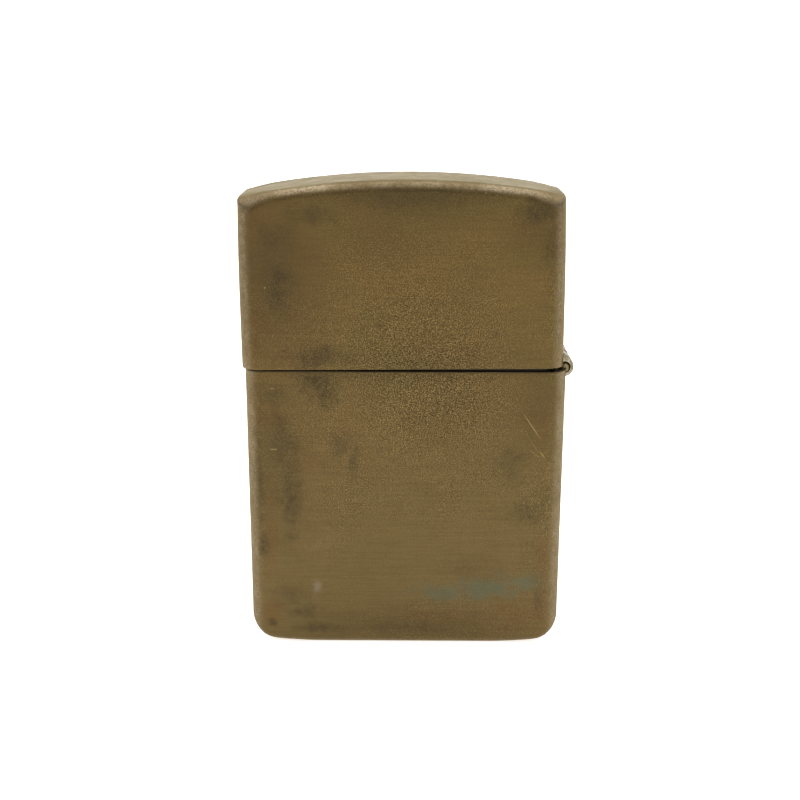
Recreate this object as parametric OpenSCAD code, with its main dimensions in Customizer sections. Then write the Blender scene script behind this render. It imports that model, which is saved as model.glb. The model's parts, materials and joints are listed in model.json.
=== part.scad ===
// Windproof flip-top pocket lighter: two drawn brass shells joined by a five-knuckle
// hinge, holding a steel fuel insert with windscreen, striker wheel, wick and lid cam.
// Millimetres. +Z is up, +X points to the hinge, the origin is the centre of the base.

/* [Case] */
// Width across the hinge side and the striker side
case_w = 38.1; // [37.6:0.1:39]
// Depth from front face to back face
case_d = 12.7; // [12.5:0.1:13.5]
// Height of the closed lighter at the crown of the lid
case_h = 57.1; // [56.7:0.1:60]
// Height of the seam between the body and the lid
seam_z = 35; // [34.8:0.1:35.4]
// Thickness of the drawn brass sheet
shell_t = 0.7; // [0.6:0.05:0.75]
// Radius of the upright edges
edge_r = 2.2; // [2:0.1:2.6]
// Radius of the body's lower corners, seen from the front
foot_r = 3.4; // [3:0.1:3.6]
// Radius of the long edges of the base
base_edge_r = 1.2; // [1:0.1:1.4]
// Width of the flat middle of the base
base_flat_w = 20; // [16:1:22]
// Radius of the shallow arcs beside the flat middle of the base
base_arc_r = 60; // [40:5:90]
// Radius of the lid's upper corners, seen from the front
crown_corner_r = 1.2; // [1.1:0.1:2.4]
// Radius of the arched top of the lid
crown_r = 105; // [92:1:140]
// Radius of the long edges of the lid's top
crown_edge_r = 1.3; // [0.9:0.1:1.5]

/* [Worn lid] */
// Gap between the shells on the striker side
lid_gap = 0.08; // [0.06:0.02:0.2]
// Lean of the worn lid, which lifts its hinge side, in degrees
lid_lean = 0.5; // [0:0.1:0.5]
// Sideways play of the worn lid towards the striker side
lid_shift = 0.35; // [0.2:0.05:0.4]

/* [Hinge] */
// Outer radius of the knuckles
knuckle_r = 1.05; // [1:0.05:1.1]
// Radius of the hinge pin
pin_r = 0.52; // [0.46:0.02:0.54]
// Radial play of the lid's knuckles on the pin
pin_play = 0.1; // [0.04:0.02:0.1]
// Length of the row of knuckles
barrel_len = 8.2; // [7.8:0.1:8.4]
// Number of knuckles, odd so that the lid holds both ends
knuckles = 5; // [5]
// Thickness of the hinge leaves
leaf_t = 0.45; // [0.4:0.05:0.5]
// Height of each hinge leaf
leaf_h = 6.4; // [5:0.2:7]

/* [Insert] */
// Width of the fuel insert
insert_w = 35.4; // [35:0.1:35.5]
// Depth of the fuel insert
insert_d = 10.9; // [10.6:0.1:10.9]
// Height of the insert's deck
deck_z = 38.4; // [38:0.1:38.8]
// Thickness of the insert's steel sheet
insert_t = 0.45; // [0.4:0.05:0.5]

/* [Windscreen] */
// Height of the windscreen's rim
screen_top = 53.7; // [53:0.1:54]
// Depth of the windscreen, outside
screen_d = 9.4; // [9:0.1:9.8]
// Radius of the air holes
air_hole_r = 1.25; // [1:0.05:1.4]
// Spacing of the air holes
air_hole_pitch = 4.1; // [3.6:0.1:4.2]

/* [Striker] */
// Radius of the striker wheel over its teeth
wheel_r = 3.2; // [3:0.05:3.3]
// Width of the striker wheel
wheel_w = 5.6; // [5.2:0.1:5.8]
// Number of teeth around the striker wheel
wheel_teeth = 40; // [30:2:50]
// Radius of the flint
flint_r = 1.3; // [1.2:0.05:1.35]
// How far the flint can be pressed down on its spring
flint_travel = 2; // [1:0.5:3]
// Turns of the flint spring
spring_turns = 16; // [12:1:20]

/* [Wick and wadding] */
// Radius of the wick
wick_r = 1.5; // [1.3:0.1:1.5]
// Height of the wick's trimmed end
wick_top = 44.8; // [43:0.1:45]

/* [Hidden] */
$fn = 64;
eps = 0.01;   // overlap that makes unions of touching shapes one solid
far = 100;    // reach of cuts that run right through

// Hinge: pin centre, in the plane across the barrel.
hinge_x = case_w / 2 - 0.1;
hinge_z = seam_z;
knuckle_gap = 0.1;
knuckle_len = (barrel_len - knuckle_gap * (knuckles - 1)) / knuckles;
leaf_w = barrel_len - 0.8;
leaf_rise = 1.25;              // foot of the lid's leaf over the pin
heel_r = 1.7;                  // reach of the heel on the middle knuckle
heel_turn = 14;                // how far the heel's tip hangs under the pin, in degrees
notch_clear = 0.25;            // air round the barrel in the shells' notches
notch_left = 1.3;              // notches' left end, from the pin
notch_run = 3;                 // notches' length along X
lug_top = 1.85;                // top of the lid's knuckle lugs over the pin
lug_left = 1.4;                // left face of the lid's lugs, from the pin
lug_wall = 1;                  // inner face of the lid's wall, from the pin
lug_end = lug_top + 0.5;
lid_lug = [
    [-lug_left, 0], [-lug_left, lug_end], [-lug_wall, lug_end], [-lug_wall, lug_top + 0.15],
    [-0.2, lug_top], [0.35, 1.45], [0.85, 0.85], [0, 0]
];
lid_heel = [
    [-lug_left, 1], [-heel_r * cos(heel_turn), -heel_r * sin(heel_turn)],
    [-0.45, 0.1 - knuckle_r], [0, 0]
];
leaf_inner = case_w / 2 - shell_t - leaf_t;
case_lug_foot = -2.2;          // foot of the case's knuckle lugs, from the pin
case_lug_left = leaf_inner - hinge_x;
case_lug = [
    [case_lug_left, case_lug_foot], [case_lug_left + leaf_t, case_lug_foot],
    [case_lug_left + leaf_t, -1.3], [-0.2, -1], [0, 0], [-1.05, -0.2], [case_lug_left, -1.2]
];

// Insert: it stands off-centre, because the hinge leaves take room on its right.
insert_x = -(case_w - 2 * shell_t - insert_w) / 2 + 0.25;
insert_left = insert_x - insert_w / 2;
insert_right = insert_x + insert_w / 2;
insert_foot = shell_t + 0.4;
insert_r = 1.3;
insert_foot_r = foot_r - shell_t + 0.2;
deck_t = 0.6;
deck_under = deck_z - deck_t;

// Striker: the wheel stands over the flint tube.
wheel_x = -12.2;
wheel_z = deck_z + 9.8;
axle_r = 0.92;
axle_play = 0.08;
tooth_h = 0.35;
ear_r = 2.7;                   // outline of the ears round the axle
ear_gap = wheel_w / 2 + 0.4;   // inner face of each ear
tube_r = 2;
tube_bore = 1.5;
tube_foot = insert_foot + 1.6;
tube_top = deck_z + 5.2;
flint_foot = wheel_z - wheel_r - 4.6;
flint_h = 5.2;                 // before the wheel wears its top
flint_gap = 0.08;              // between the flint and the wheel
tip_h = 2.1;
stem_r = 0.7;                  // stem under the tip, which the spring fits round
stem_h = 1.4;
screw_h = 6;                   // shank of the flint screw
screw_head_r = 2.5;
screw_head_h = 1.3;
screw_slot_w = 0.7;
screw_slot_h = 0.6;
spring_wire = 0.2;
coil_r = 1.05;                 // centre line of the wire
coil_steps = 10;               // wire sections in each turn
spring_foot = tube_foot + screw_h + spring_wire;
spring_head = flint_foot - tip_h - spring_wire;

// Windscreen, seen from above: a wide chamber that narrows to the wheel's ears.
screen_t = insert_t;
screen_left = -8.6;
screen_right = 11.5;
screen_corner = 3;
screen_mid = (screen_left + screen_right) / 2 + 0.4;
jog_x = -9.9;                  // where the walls reach the ears

// Cam: a spring-loaded finger whose nose faces the heel of the lid's middle knuckle.
cam_x = 14.8;
cam_z = 33.4;
cam_hub_r = 1.4;
cam_w = 3;
cam_pin_r = 0.7;
cam_play = 0.06;
nose = [17.1, 36.15];
nose_r = 0.38;
cam_top = [15.3, 38.7];
cam_top_r = 0.7;
bracket_gap = cam_w / 2 + 0.25;
bracket_left = 11.55;
bracket_foot = 31;
bracket_right = insert_right - insert_t - 0.25;
slot_w = 3.6;                  // slot for the cam in deck and wall
slot_foot = 33.2;
strip_t = 0.3;
strip_w = 2.6;
strip_rivet_z = 32.2;
strip_rivet_r = 0.5;
strip_bend_z = 34.2;           // where the leaf spring starts to lean over to the cam
strip_bend_r = 2;

// Wick: from the trimmed end down into the tank, then folded between the wads.
wick_x = 3.2;
fold_r = 2.75;
turn_r = 3;
fold_top = 27;
fold_right = 12;
fold_left = -5.4;
wick_end = -2;
wad_gap = 0.1;
wad_foot = insert_foot + 3.6;
wad_top = deck_under - 0.9;
wad_side = insert_t + 0.15;    // inset of the wads from the insert's outside
soft_play = 0.05;              // round what passes through the wads
cam_room_left = bracket_left - 0.6;
cam_room_foot = bracket_foot - 0.4;
felt_foot = insert_foot + 1.1;
felt_h = 2.2;
felt_w = insert_w - 2.5;
felt_d = insert_d - 1.2;
felt_r = 1.2;
felt_hole_r = 2.8;
wad_levels = [for (i = [0:3]) fold_top - 2 * fold_r * i];

// ---------- outlines ----------

// Rectangle with four round corners, centred.
module round_rect(w, d, r) {
    square([w - 2 * r, d], center = true);
    square([w, d - 2 * r], center = true);
    for (x = [-1, 1], y = [-1, 1])
        translate([x * (w / 2 - r), y * (d / 2 - r)]) circle(r);
}

// The shells seen from above, drawn in by the inset.
module plan_outline(inset) {
    round_rect(case_w - 2 * inset, case_d - 2 * inset, edge_r - inset);
}

// The body seen from the front: a flat middle of the base, then a shallow arc and a round
// corner at each end, all tangent.
module body_front_outline(inset) {
    r = foot_r - inset;
    arc_r = base_arc_r - inset;
    half = case_w / 2 - inset;
    flat = base_flat_w / 2;
    corner_x = half - r;
    corner_z = base_arc_r - sqrt(pow(arc_r - r, 2) - pow(corner_x - flat, 2));
    spread = asin((corner_x - flat) / (arc_r - r));
    reach = 1.1 * base_arc_r;
    translate([-half, corner_z]) square([2 * half, case_h]);
    translate([-flat, inset]) square([2 * flat, case_h]);
    for (s = [-1, 1]) {
        translate([s * corner_x, corner_z]) circle(r);
        translate([s * flat, base_arc_r]) intersection() {
            circle(arc_r, $fn = 360);
            polygon([[0, 0], [0, -reach], [s * reach * sin(spread), -reach * cos(spread)]]);
        }
    }
}

// The body seen from the side: round long edges along the base.
module body_side_outline(inset) {
    h = case_h;
    translate([0, inset + h / 2])
        round_rect(case_d - 2 * inset, h, base_edge_r - inset);
}

// Solid block that fills the body's outside, drawn in by the inset.
module body_block(inset) {
    intersection() {
        linear_extrude(case_h) plan_outline(inset);
        rotate([90, 0, 0]) linear_extrude(2 * case_d, center = true)
            body_front_outline(inset);
        rotate([90, 0, 90]) linear_extrude(2 * case_w, center = true)
            body_side_outline(inset);
    }
}

// The lid seen from the front: an arch whose ends turn into round corners.
module lid_front_outline(inset) {
    r = crown_corner_r - inset;
    half = case_w / 2 - inset;
    arch_r = crown_r - inset;
    arch_z = case_h - crown_r;
    corner_x = half - r;
    corner_z = arch_z + sqrt(pow(arch_r - r, 2) - pow(corner_x, 2));
    spread = asin(corner_x / (arch_r - r));
    intersection() {
        translate([0, arch_z]) circle(arch_r, $fn = 720);
        polygon([
            [0, arch_z],
            [-1.2 * crown_r * sin(spread), arch_z + 1.2 * crown_r * cos(spread)],
            [1.2 * crown_r * sin(spread), arch_z + 1.2 * crown_r * cos(spread)]
        ]);
        translate([-half, 0]) square([2 * half, 2 * case_h]);
    }
    for (s = [-1, 1])
        translate([s * corner_x, corner_z]) circle(r);
    translate([-half, 0]) square([2 * half, corner_z]);
}

// Ring sector whose outer long edges are round; it trims the lid to its arched top.
module lid_crown_trim(inset) {
    arch_r = crown_r - inset;
    r = crown_edge_r - inset;
    half = case_d / 2 - inset;
    depth = 40;
    sweep = 40;
    translate([0, 0, case_h - crown_r]) rotate([90, 0, 0]) rotate([0, 0, 90 - sweep / 2])
        rotate_extrude(angle = sweep, $fn = 720) {
            translate([arch_r - depth, -half]) square([depth - r, 2 * half]);
            translate([arch_r - depth, -half + r]) square([depth, 2 * (half - r)]);
            for (s = [-1, 1])
                translate([arch_r - r, s * (half - r)]) circle(r);
        }
}

// Solid block that fills the lid's outside, drawn in by the inset.
module lid_block(inset) {
    intersection() {
        linear_extrude(2 * case_h) plan_outline(inset);
        rotate([90, 0, 0]) linear_extrude(2 * case_d, center = true)
            lid_front_outline(inset);
        lid_crown_trim(inset);
    }
}

// Places what is fixed to the worn lid: leaning about its lower left edge, and shifted.
module on_lid() {
    corner = [-case_w / 2, 0, seam_z + lid_gap];
    translate(corner - [lid_shift, 0, 0]) rotate([0, -lid_lean, 0]) translate(-corner)
        children();
}

// Extrudes an outline drawn in X and Z along Y, centred on Y = 0.
module across(width) {
    rotate([90, 0, 0]) linear_extrude(width, center = true) children();
}

// A cylinder along Y, centred.
module rod_y(r, length) {
    rotate([90, 0, 0]) cylinder(r = r, h = length, center = true);
}

// ---------- brass shells ----------

module hinge_notch(z0, z1) {
    translate([hinge_x - notch_left, -barrel_len / 2 - notch_clear / 2, z0])
        cube([notch_run, barrel_len + notch_clear, z1 - z0]);
}

module case_body() color("#7d6640")
    difference() {
        intersection() {
            body_block(0);
            translate([-far / 2, -far / 2, 0]) cube([far, far, seam_z]);
        }
        body_block(shell_t);
        hinge_notch(hinge_z - knuckle_r - notch_clear, seam_z + 1);
    }

module lid_shell() color("#7d6640")
    difference() {
        on_lid() difference() {
            intersection() {
                lid_block(0);
                translate([-far / 2, -far / 2, seam_z + lid_gap]) cube([far, far, far]);
            }
            lid_block(shell_t);
        }
        hinge_notch(seam_z - 1, hinge_z + lug_top + notch_clear);
    }

// ---------- hinge ----------

// Y of the middle of each knuckle, counted from the front.
function knuckle_y(i) = -barrel_len / 2 + knuckle_len / 2 + i * (knuckle_len + knuckle_gap);

module knuckle(i, bore) {
    translate([hinge_x, knuckle_y(i), hinge_z]) difference() {
        union() {
            rod_y(knuckle_r, knuckle_len);
            across(knuckle_len) children();
        }
        rod_y(bore, far);
    }
}

module lid_hinge_leaf() color("#9a958a") {
    bore = pin_r + pin_play;
    for (i = [0:2:knuckles - 1])
        knuckle(i, bore) polygon(lid_lug);
    // The middle knuckle has a heel that works against the cam.
    knuckle((knuckles - 1) / 2, bore) polygon(lid_heel);
    on_lid() translate([leaf_inner, -leaf_w / 2, hinge_z + leaf_rise])
        cube([leaf_t, leaf_w, leaf_h]);
}

module case_hinge_leaf() color("#9a958a") {
    top = hinge_z - knuckle_r - notch_clear;
    for (i = [1:2:knuckles - 1])
        knuckle(i, pin_r) polygon(case_lug);
    translate([leaf_inner, -leaf_w / 2, top - leaf_h]) cube([leaf_t, leaf_w, leaf_h]);
}

module hinge_pin() color("#b0aca2")
    translate([hinge_x, 0, hinge_z]) rod_y(pin_r, barrel_len);

// ---------- fuel insert ----------

// The insert seen from above, drawn in by the inset.
module insert_plan(inset) {
    translate([insert_x, 0])
        round_rect(insert_w - 2 * inset, insert_d - 2 * inset, insert_r - inset);
}

// Slot that lets the cam stand out of the deck and the right-hand wall.
module cam_slot() {
    translate([bracket_left + 0.6, -slot_w / 2, slot_foot])
        cube([far, slot_w, far]);
}

module insert_body() color("#b9b9b4")
    difference() {
        intersection() {
            linear_extrude(deck_z) insert_plan(0);
            across(far) translate([insert_x, insert_foot + deck_z])
                round_rect(insert_w, 2 * deck_z, insert_foot_r);
        }
        translate([0, 0, -1]) linear_extrude(far) insert_plan(insert_t);
        cam_slot();
    }

module insert_deck() color("#b9b9b4")
    difference() {
        translate([0, 0, deck_under]) linear_extrude(deck_t) insert_plan(insert_t);
        translate([wick_x, 0, 0]) cylinder(r = wick_r + 0.1, h = far);
        translate([wheel_x, 0, 0]) cylinder(r = tube_r, h = far);
        cam_slot();
    }

// ---------- windscreen ----------

// The windscreen seen from above, with its walls drawn in by the inset.
module screen_plan(inset) {
    half = screen_d / 2 - inset;
    ear = ear_gap + screen_t - inset;
    right = screen_right - inset;
    corner = screen_corner - inset;
    left = wheel_x - 2 * ear_r;
    polygon([
        [left, -ear], [jog_x, -ear], [screen_left, -half], [right - corner, -half],
        [right - corner, half], [screen_left, half], [jog_x, ear], [left, ear]
    ]);
    translate([right - corner - eps, -half + corner])
        square([corner + eps, 2 * (half - corner)]);
    for (s = [-1, 1])
        translate([right - corner, s * (half - corner)]) circle(corner);
}

// Block that the windscreen's walls fill: a tall screen and a low ear for the axle.
module screen_block() {
    foot = wheel_x - 2.2;
    join = screen_left + 2;
    translate([screen_left, -far / 2, deck_z])
        cube([screen_right - screen_left + 1, far, screen_top - deck_z]);
    across(far)
        polygon([
            [foot, deck_z], [wheel_x - ear_r, wheel_z],
            [wheel_x, wheel_z + 0.98 * ear_r], [join, wheel_z + ear_r + 1], [join, deck_z]
        ]);
    translate([wheel_x, 0, wheel_z]) rod_y(ear_r, far);
}

// Staggered air holes in three columns, in the front and back walls.
module air_holes() {
    for (column = [-1:1], row = [0:(column == 0 ? 1 : 2)]) {
        lift = (row - (column == 0 ? 0.5 : 1)) * air_hole_pitch;
        translate([screen_mid + column * air_hole_pitch, 0, (deck_z + screen_top) / 2 + lift])
            rod_y(air_hole_r, far);
    }
}

module windscreen() color("#b9b9b4")
    difference() {
        intersection() {
            linear_extrude(far) difference() {
                screen_plan(0);
                screen_plan(screen_t);
                translate([wheel_x - 3 * ear_r, -ear_gap]) square([2 * ear_r, 2 * ear_gap]);
            }
            screen_block();
        }
        air_holes();
        translate([wheel_x, 0, wheel_z]) rod_y(axle_r, far);
    }

// ---------- striker ----------

module striker_wheel() color("#5a5a5c")
    translate([wheel_x, 0, wheel_z]) difference() {
        across(wheel_w)
            polygon([
                for (i = [0:2 * wheel_teeth - 1])
                    let (r = wheel_r - (i % 2) * tooth_h, a = 180 * i / wheel_teeth)
                        [r * cos(a), r * sin(a)]
            ]);
        rod_y(axle_r + axle_play, far);
    }

module wheel_rivet() color("#c0c0bc")
    translate([wheel_x, 0, wheel_z]) {
        outer = ear_gap + screen_t;
        head_r = 1.7;
        crown = 1.3;
        head_h = 0.5;
        rod_y(axle_r, 2 * outer + head_h);
        for (s = [0, 180])
            rotate([0, 0, s]) translate([0, outer, 0]) rotate([-90, 0, 0])
                cylinder(r1 = head_r, r2 = crown, h = head_h);
    }

module flint_tube() color("#b08d4f")
    translate([wheel_x, 0, tube_foot]) difference() {
        cylinder(r = tube_r, h = tube_top - tube_foot);
        translate([0, 0, -1]) cylinder(r = tube_bore, h = far);
    }

// The flint's end is worn to the curve of the wheel.
module flint() color("#4b4a48")
    difference() {
        translate([wheel_x, 0, flint_foot]) cylinder(r = flint_r, h = flint_h);
        translate([wheel_x, 0, wheel_z]) rod_y(wheel_r + flint_gap, far);
    }

module spring_tip() color("#b08d4f")
    translate([wheel_x, 0, flint_foot - tip_h]) {
        cylinder(r = flint_r, h = tip_h);
        translate([0, 0, -stem_h]) cylinder(r = stem_r, h = stem_h + eps);
    }

// Ring of points of a round wire at turn angle a of a coil.
function coil_ring(a, radius, wire, rise, sides) = [
    for (k = [0:sides - 1])
        let (r = radius + wire * cos(360 * k / sides))
            [r * cos(a), r * sin(a), rise * a / 360 + wire * sin(360 * k / sides)]
];

module flint_spring() color("#8f8f8b")
    translate([wheel_x, 0, spring_foot]) {
        steps = coil_steps * spring_turns;
        sides = 5;
        rise = (spring_head - spring_foot) / spring_turns;
        rings = [
            for (i = [0:steps]) coil_ring(360 / coil_steps * i, coil_r, spring_wire, rise, sides)
        ];
        points = [for (ring = rings) each ring];
        walls = [
            for (i = [0:steps - 1], k = [0:sides - 1])
                let (a = i * sides + k, b = i * sides + (k + 1) % sides)
                    each [[a, b, b + sides], [a, b + sides, a + sides]]
        ];
        first = [for (k = [sides - 1:-1:0]) k];
        last = [for (k = [0:sides - 1]) steps * sides + k];
        polyhedron(points = points, faces = concat(walls, [first], [last]));
    }

module flint_screw() color("#b08d4f")
    translate([wheel_x, 0, tube_foot]) difference() {
        union() {
            translate([0, 0, -screw_head_h]) cylinder(r = screw_head_r, h = screw_head_h);
            cylinder(r = tube_bore - 0.05, h = screw_h);
        }
        translate([0, 0, -screw_head_h]) cube([far, screw_slot_w, 2 * screw_slot_h], center = true);
    }

// ---------- lid cam ----------

module cam_bracket() color("#a8a8a2")
    difference() {
        translate([bracket_left, -bracket_gap - insert_t, bracket_foot])
            cube([bracket_right - bracket_left, 2 * (bracket_gap + insert_t),
                  deck_under - bracket_foot]);
        translate([bracket_left + insert_t, -bracket_gap, 0]) cube([far, 2 * bracket_gap, far]);
        translate([cam_x, 0, cam_z]) rod_y(cam_pin_r, far);
        translate([bracket_left, 0, strip_rivet_z]) rotate([0, 90, 0])
            cylinder(r = strip_rivet_r, h = 4, center = true);
    }

module lid_cam() color("#8d8d88")
    difference() {
        across(cam_w) hull() {
            translate([cam_x, cam_z]) circle(cam_hub_r, $fn = 48);
            translate(nose) circle(nose_r, $fn = 32);
            translate(cam_top) circle(cam_top_r, $fn = 32);
        }
        translate([cam_x, 0, cam_z]) rod_y(cam_pin_r + cam_play, far);
        translate([hinge_x, 0, hinge_z]) rod_y(heel_r + 0.1, far);
    }

module cam_rivet() color("#c0c0bc")
    translate([cam_x, 0, cam_z]) {
        outer = bracket_gap + insert_t;
        head_r = 1.2;
        crown = 0.9;
        head_h = 0.35;
        rod_y(cam_pin_r, 2 * outer + head_h);
        for (s = [0, 180])
            rotate([0, 0, s]) translate([0, outer, 0]) rotate([-90, 0, 0])
                cylinder(r1 = head_r, r2 = crown, h = head_h);
    }

// Centreline of the leaf spring: up the bracket's back, then over to the cam.
strip_x = bracket_left + insert_t + strip_t / 2;
strip_line = [
    [strip_x, bracket_foot + 0.2],
    [strip_x, strip_bend_z],
    for (a = [15:15:45])
        [strip_x + strip_bend_r * (1 - cos(a)), strip_bend_z + strip_bend_r * sin(a)],
    [13.62, 36.6],
    [13.68, 36.9],
    [13.5, 37.4]
];

// Direction across a line of points at point i.
function strip_side(line, i) =
    let (
        a = line[max(i - 1, 0)],
        b = line[min(i + 1, len(line) - 1)],
        d = (b - a) / norm(b - a)
    ) [-d[1], d[0]];

module cam_spring() color("#9c9c96")
    difference() {
        across(strip_w)
            polygon([
                for (i = [0:len(strip_line) - 1])
                    strip_line[i] + strip_side(strip_line, i) * strip_t / 2,
                for (i = [len(strip_line) - 1:-1:0])
                    strip_line[i] - strip_side(strip_line, i) * strip_t / 2
            ]);
        translate([strip_x, 0, strip_rivet_z]) rotate([0, 90, 0])
            cylinder(r = strip_rivet_r, h = 2, center = true);
    }

module spring_rivet() color("#c0c0bc") {
    stack = insert_t + strip_t;
    head_r = 0.9;
    head_h = 0.3;
    translate([bracket_left, 0, strip_rivet_z]) rotate([0, 90, 0]) {
        cylinder(r = strip_rivet_r, h = stack);
        translate([0, 0, -head_h]) cylinder(r = head_r, h = head_h);
        translate([0, 0, stack]) cylinder(r = head_r, h = head_h);
    }
}

// ---------- wick, wadding and felt ----------

// Half turn of the wick about a centre; side 1 bulges to the right, -1 to the left.
module wick_fold(x, z, side, r) {
    translate([x, 0, z]) rotate([90, 0, 0]) rotate([0, 0, side > 0 ? -90 : 90])
        rotate_extrude(angle = 180) translate([fold_r, 0]) circle(r);
}

// Straight run of the wick along X at a height.
module wick_run(x0, x1, z, r) {
    translate([min(x0, x1), 0, z]) rotate([0, 90, 0]) cylinder(r = r, h = abs(x1 - x0));
}

// The whole wick with a radius, so that the wadding can be cut to fit round it.
module wick_route(r) {
    bend_x = wick_x + turn_r;
    bend_z = fold_top + turn_r;
    translate([wick_x, 0, bend_z]) cylinder(r = r, h = wick_top - bend_z);
    translate([bend_x, 0, bend_z]) rotate([90, 0, 0]) rotate([0, 0, 180])
        rotate_extrude(angle = 90) translate([turn_r, 0]) circle(r);
    wick_run(bend_x, fold_right, wad_levels[0], r);
    wick_fold(fold_right, wad_levels[0] - fold_r, 1, r);
    wick_run(fold_left, fold_right, wad_levels[1], r);
    wick_fold(fold_left, wad_levels[1] - fold_r, -1, r);
    wick_run(fold_left, fold_right, wad_levels[2], r);
    wick_fold(fold_right, wad_levels[2] - fold_r, 1, r);
    wick_run(wick_end, fold_right, wad_levels[3], r);
}

module wick() color("#d8d2c2") wick_route(wick_r);

// Five pads of wadding, with the wick folded between them.
module cotton_wads() color("#ece8de") {
    tops = concat([wad_top], wad_levels);
    foots = concat(wad_levels, [wad_foot]);
    difference() {
        for (i = [0:len(tops) - 1])
            translate([0, 0, foots[i] + wad_gap / 2])
                linear_extrude(tops[i] - foots[i] - wad_gap) insert_plan(wad_side);
        wick_route(wick_r + soft_play);
        translate([wheel_x, 0, 0]) cylinder(r = tube_r + soft_play, h = far);
        translate([cam_room_left, -far / 2, cam_room_foot]) cube(far);
    }
}

module felt_pad() color("#8f8678")
    difference() {
        translate([0, 0, felt_foot]) linear_extrude(felt_h)
            translate([insert_x, 0]) round_rect(felt_w, felt_d, felt_r);
        translate([wheel_x, 0, 0]) cylinder(r = felt_hole_r, h = far, center = true);
    }

case_body();
lid_shell();
lid_hinge_leaf();
case_hinge_leaf();
hinge_pin();
insert_body();
insert_deck();
windscreen();
striker_wheel();
wheel_rivet();
flint_tube();
flint();
flint_spring();
spring_tip();
flint_screw();
cam_bracket();
lid_cam();
cam_rivet();
cam_spring();
spring_rivet();
wick();
cotton_wads();
felt_pad();
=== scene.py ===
"""Flip-top pocket lighter in aged brass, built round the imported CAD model.

Mesh code works in millimetres and is scaled to metres when a mesh is made. The frame is the CAD's:
+Z up, +X to the hinge, -Y to the front panel, origin at the centre of the base.
"""

import json
import math

import bmesh
import bpy
from mathutils import Matrix, Vector, noise


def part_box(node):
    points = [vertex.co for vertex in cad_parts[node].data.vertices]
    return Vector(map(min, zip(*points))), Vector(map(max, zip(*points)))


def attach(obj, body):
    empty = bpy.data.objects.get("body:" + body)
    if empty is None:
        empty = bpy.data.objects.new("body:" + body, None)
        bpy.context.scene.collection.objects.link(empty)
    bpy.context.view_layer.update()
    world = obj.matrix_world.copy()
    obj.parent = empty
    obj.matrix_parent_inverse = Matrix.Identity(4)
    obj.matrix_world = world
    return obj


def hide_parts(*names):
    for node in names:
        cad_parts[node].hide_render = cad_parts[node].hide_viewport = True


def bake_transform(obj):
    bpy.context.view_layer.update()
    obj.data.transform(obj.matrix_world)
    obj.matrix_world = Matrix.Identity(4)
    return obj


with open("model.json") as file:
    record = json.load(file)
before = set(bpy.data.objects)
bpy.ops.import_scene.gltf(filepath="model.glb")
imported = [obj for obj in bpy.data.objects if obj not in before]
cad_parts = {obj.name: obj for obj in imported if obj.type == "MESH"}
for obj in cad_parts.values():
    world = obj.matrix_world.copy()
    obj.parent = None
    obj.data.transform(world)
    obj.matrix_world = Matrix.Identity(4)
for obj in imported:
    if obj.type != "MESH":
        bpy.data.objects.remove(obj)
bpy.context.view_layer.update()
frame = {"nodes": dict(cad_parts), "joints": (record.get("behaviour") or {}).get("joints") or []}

MM = 0.001


def mm_box(node):
    """Lowest and highest corner of a CAD node, in millimetres."""
    low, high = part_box(node)
    return low / MM, high / MM


JOINTS = {joint["name"]: joint for joint in frame["joints"]}
HINGE = Vector(JOINTS["lid_hinge"]["pos_m"]) / MM
WHEEL = Vector(JOINTS["wheel_spin"]["pos_m"]) / MM

body_top = mm_box("case_body")[1]
HALF_W = body_top.x
HALF_D = body_top.y
SEAM = body_top.z
CROWN = 57.03           # height of the lid's crown before it leans
SHEET = 0.7             # thickness of the brass
EDGE_R = 2.2            # upright edges
LID_GAP = 0.08          # the worn lid's gap, lean and sideways play
LID_LEAN = math.radians(0.5)
LID_SHIFT = 0.35
KNUCKLE_R = 1.05
BARREL = 8.2            # length of the hinge's barrel
KNUCKLES = 5
KNUCKLE_GAP = 0.1
KNUCKLE_LEN = (BARREL - KNUCKLE_GAP * (KNUCKLES - 1)) / KNUCKLES
LEAF_T = 0.45           # hinge leaves: thickness, half width and height
LEAF_HALF = 3.7
LEAF_H = 6.4
WELDS = (-1.9, 1.9)     # where the leaves are welded to the walls
WEAR = 0.012            # how uneven handling has made the brass
NOTCH_FOOT = HINGE.z - KNUCKLE_R - 0.25


# ---------- meshes ----------


def make_object(name, mesh):
    piece = bpy.data.objects.new(name, mesh)
    bpy.context.scene.collection.objects.link(piece)
    return piece


def mesh_object(name, points, faces):
    """Object from points in millimetres and faces, with coinciding points welded."""
    weld = 1e-4
    mesh = bpy.data.meshes.new(name)
    mesh.from_pydata([tuple(p) for p in points], [], faces)
    bm = bmesh.new()
    bm.from_mesh(mesh)
    bmesh.ops.remove_doubles(bm, verts=bm.verts, dist=weld)
    bmesh.ops.dissolve_degenerate(bm, edges=bm.edges, dist=weld / 10)
    bmesh.ops.recalc_face_normals(bm, faces=bm.faces)
    bm.to_mesh(mesh)
    bm.free()
    mesh.transform(Matrix.Scale(MM, 4))
    return make_object(name, mesh)


def skin_between(rings, closed_ends=False):
    """Quads between rings that all hold the same number of points, each ring a closed loop."""
    count = len(rings[0])
    points = [p for ring in rings for p in ring]
    faces = []
    for r in range(len(rings) - 1):
        for i in range(count):
            j = (i + 1) % count
            low, high = r * count, (r + 1) * count
            faces.append((low + i, low + j, high + j, high + i))
    if closed_ends:
        last = (len(rings) - 1) * count
        faces.append(tuple(reversed(range(count))))
        faces.append(tuple(range(last, last + count)))
    return points, faces


def smooth(piece, angle):
    piece.data.shade_smooth()
    piece.data.set_sharp_from_angle(angle=math.radians(angle))


def apply_modifiers(piece):
    """Makes a piece's modifiers part of its mesh."""
    bpy.context.view_layer.update()
    graph = bpy.context.evaluated_depsgraph_get()
    mesh = bpy.data.meshes.new_from_object(piece.evaluated_get(graph))
    piece.modifiers.clear()
    piece.data = mesh


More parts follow.
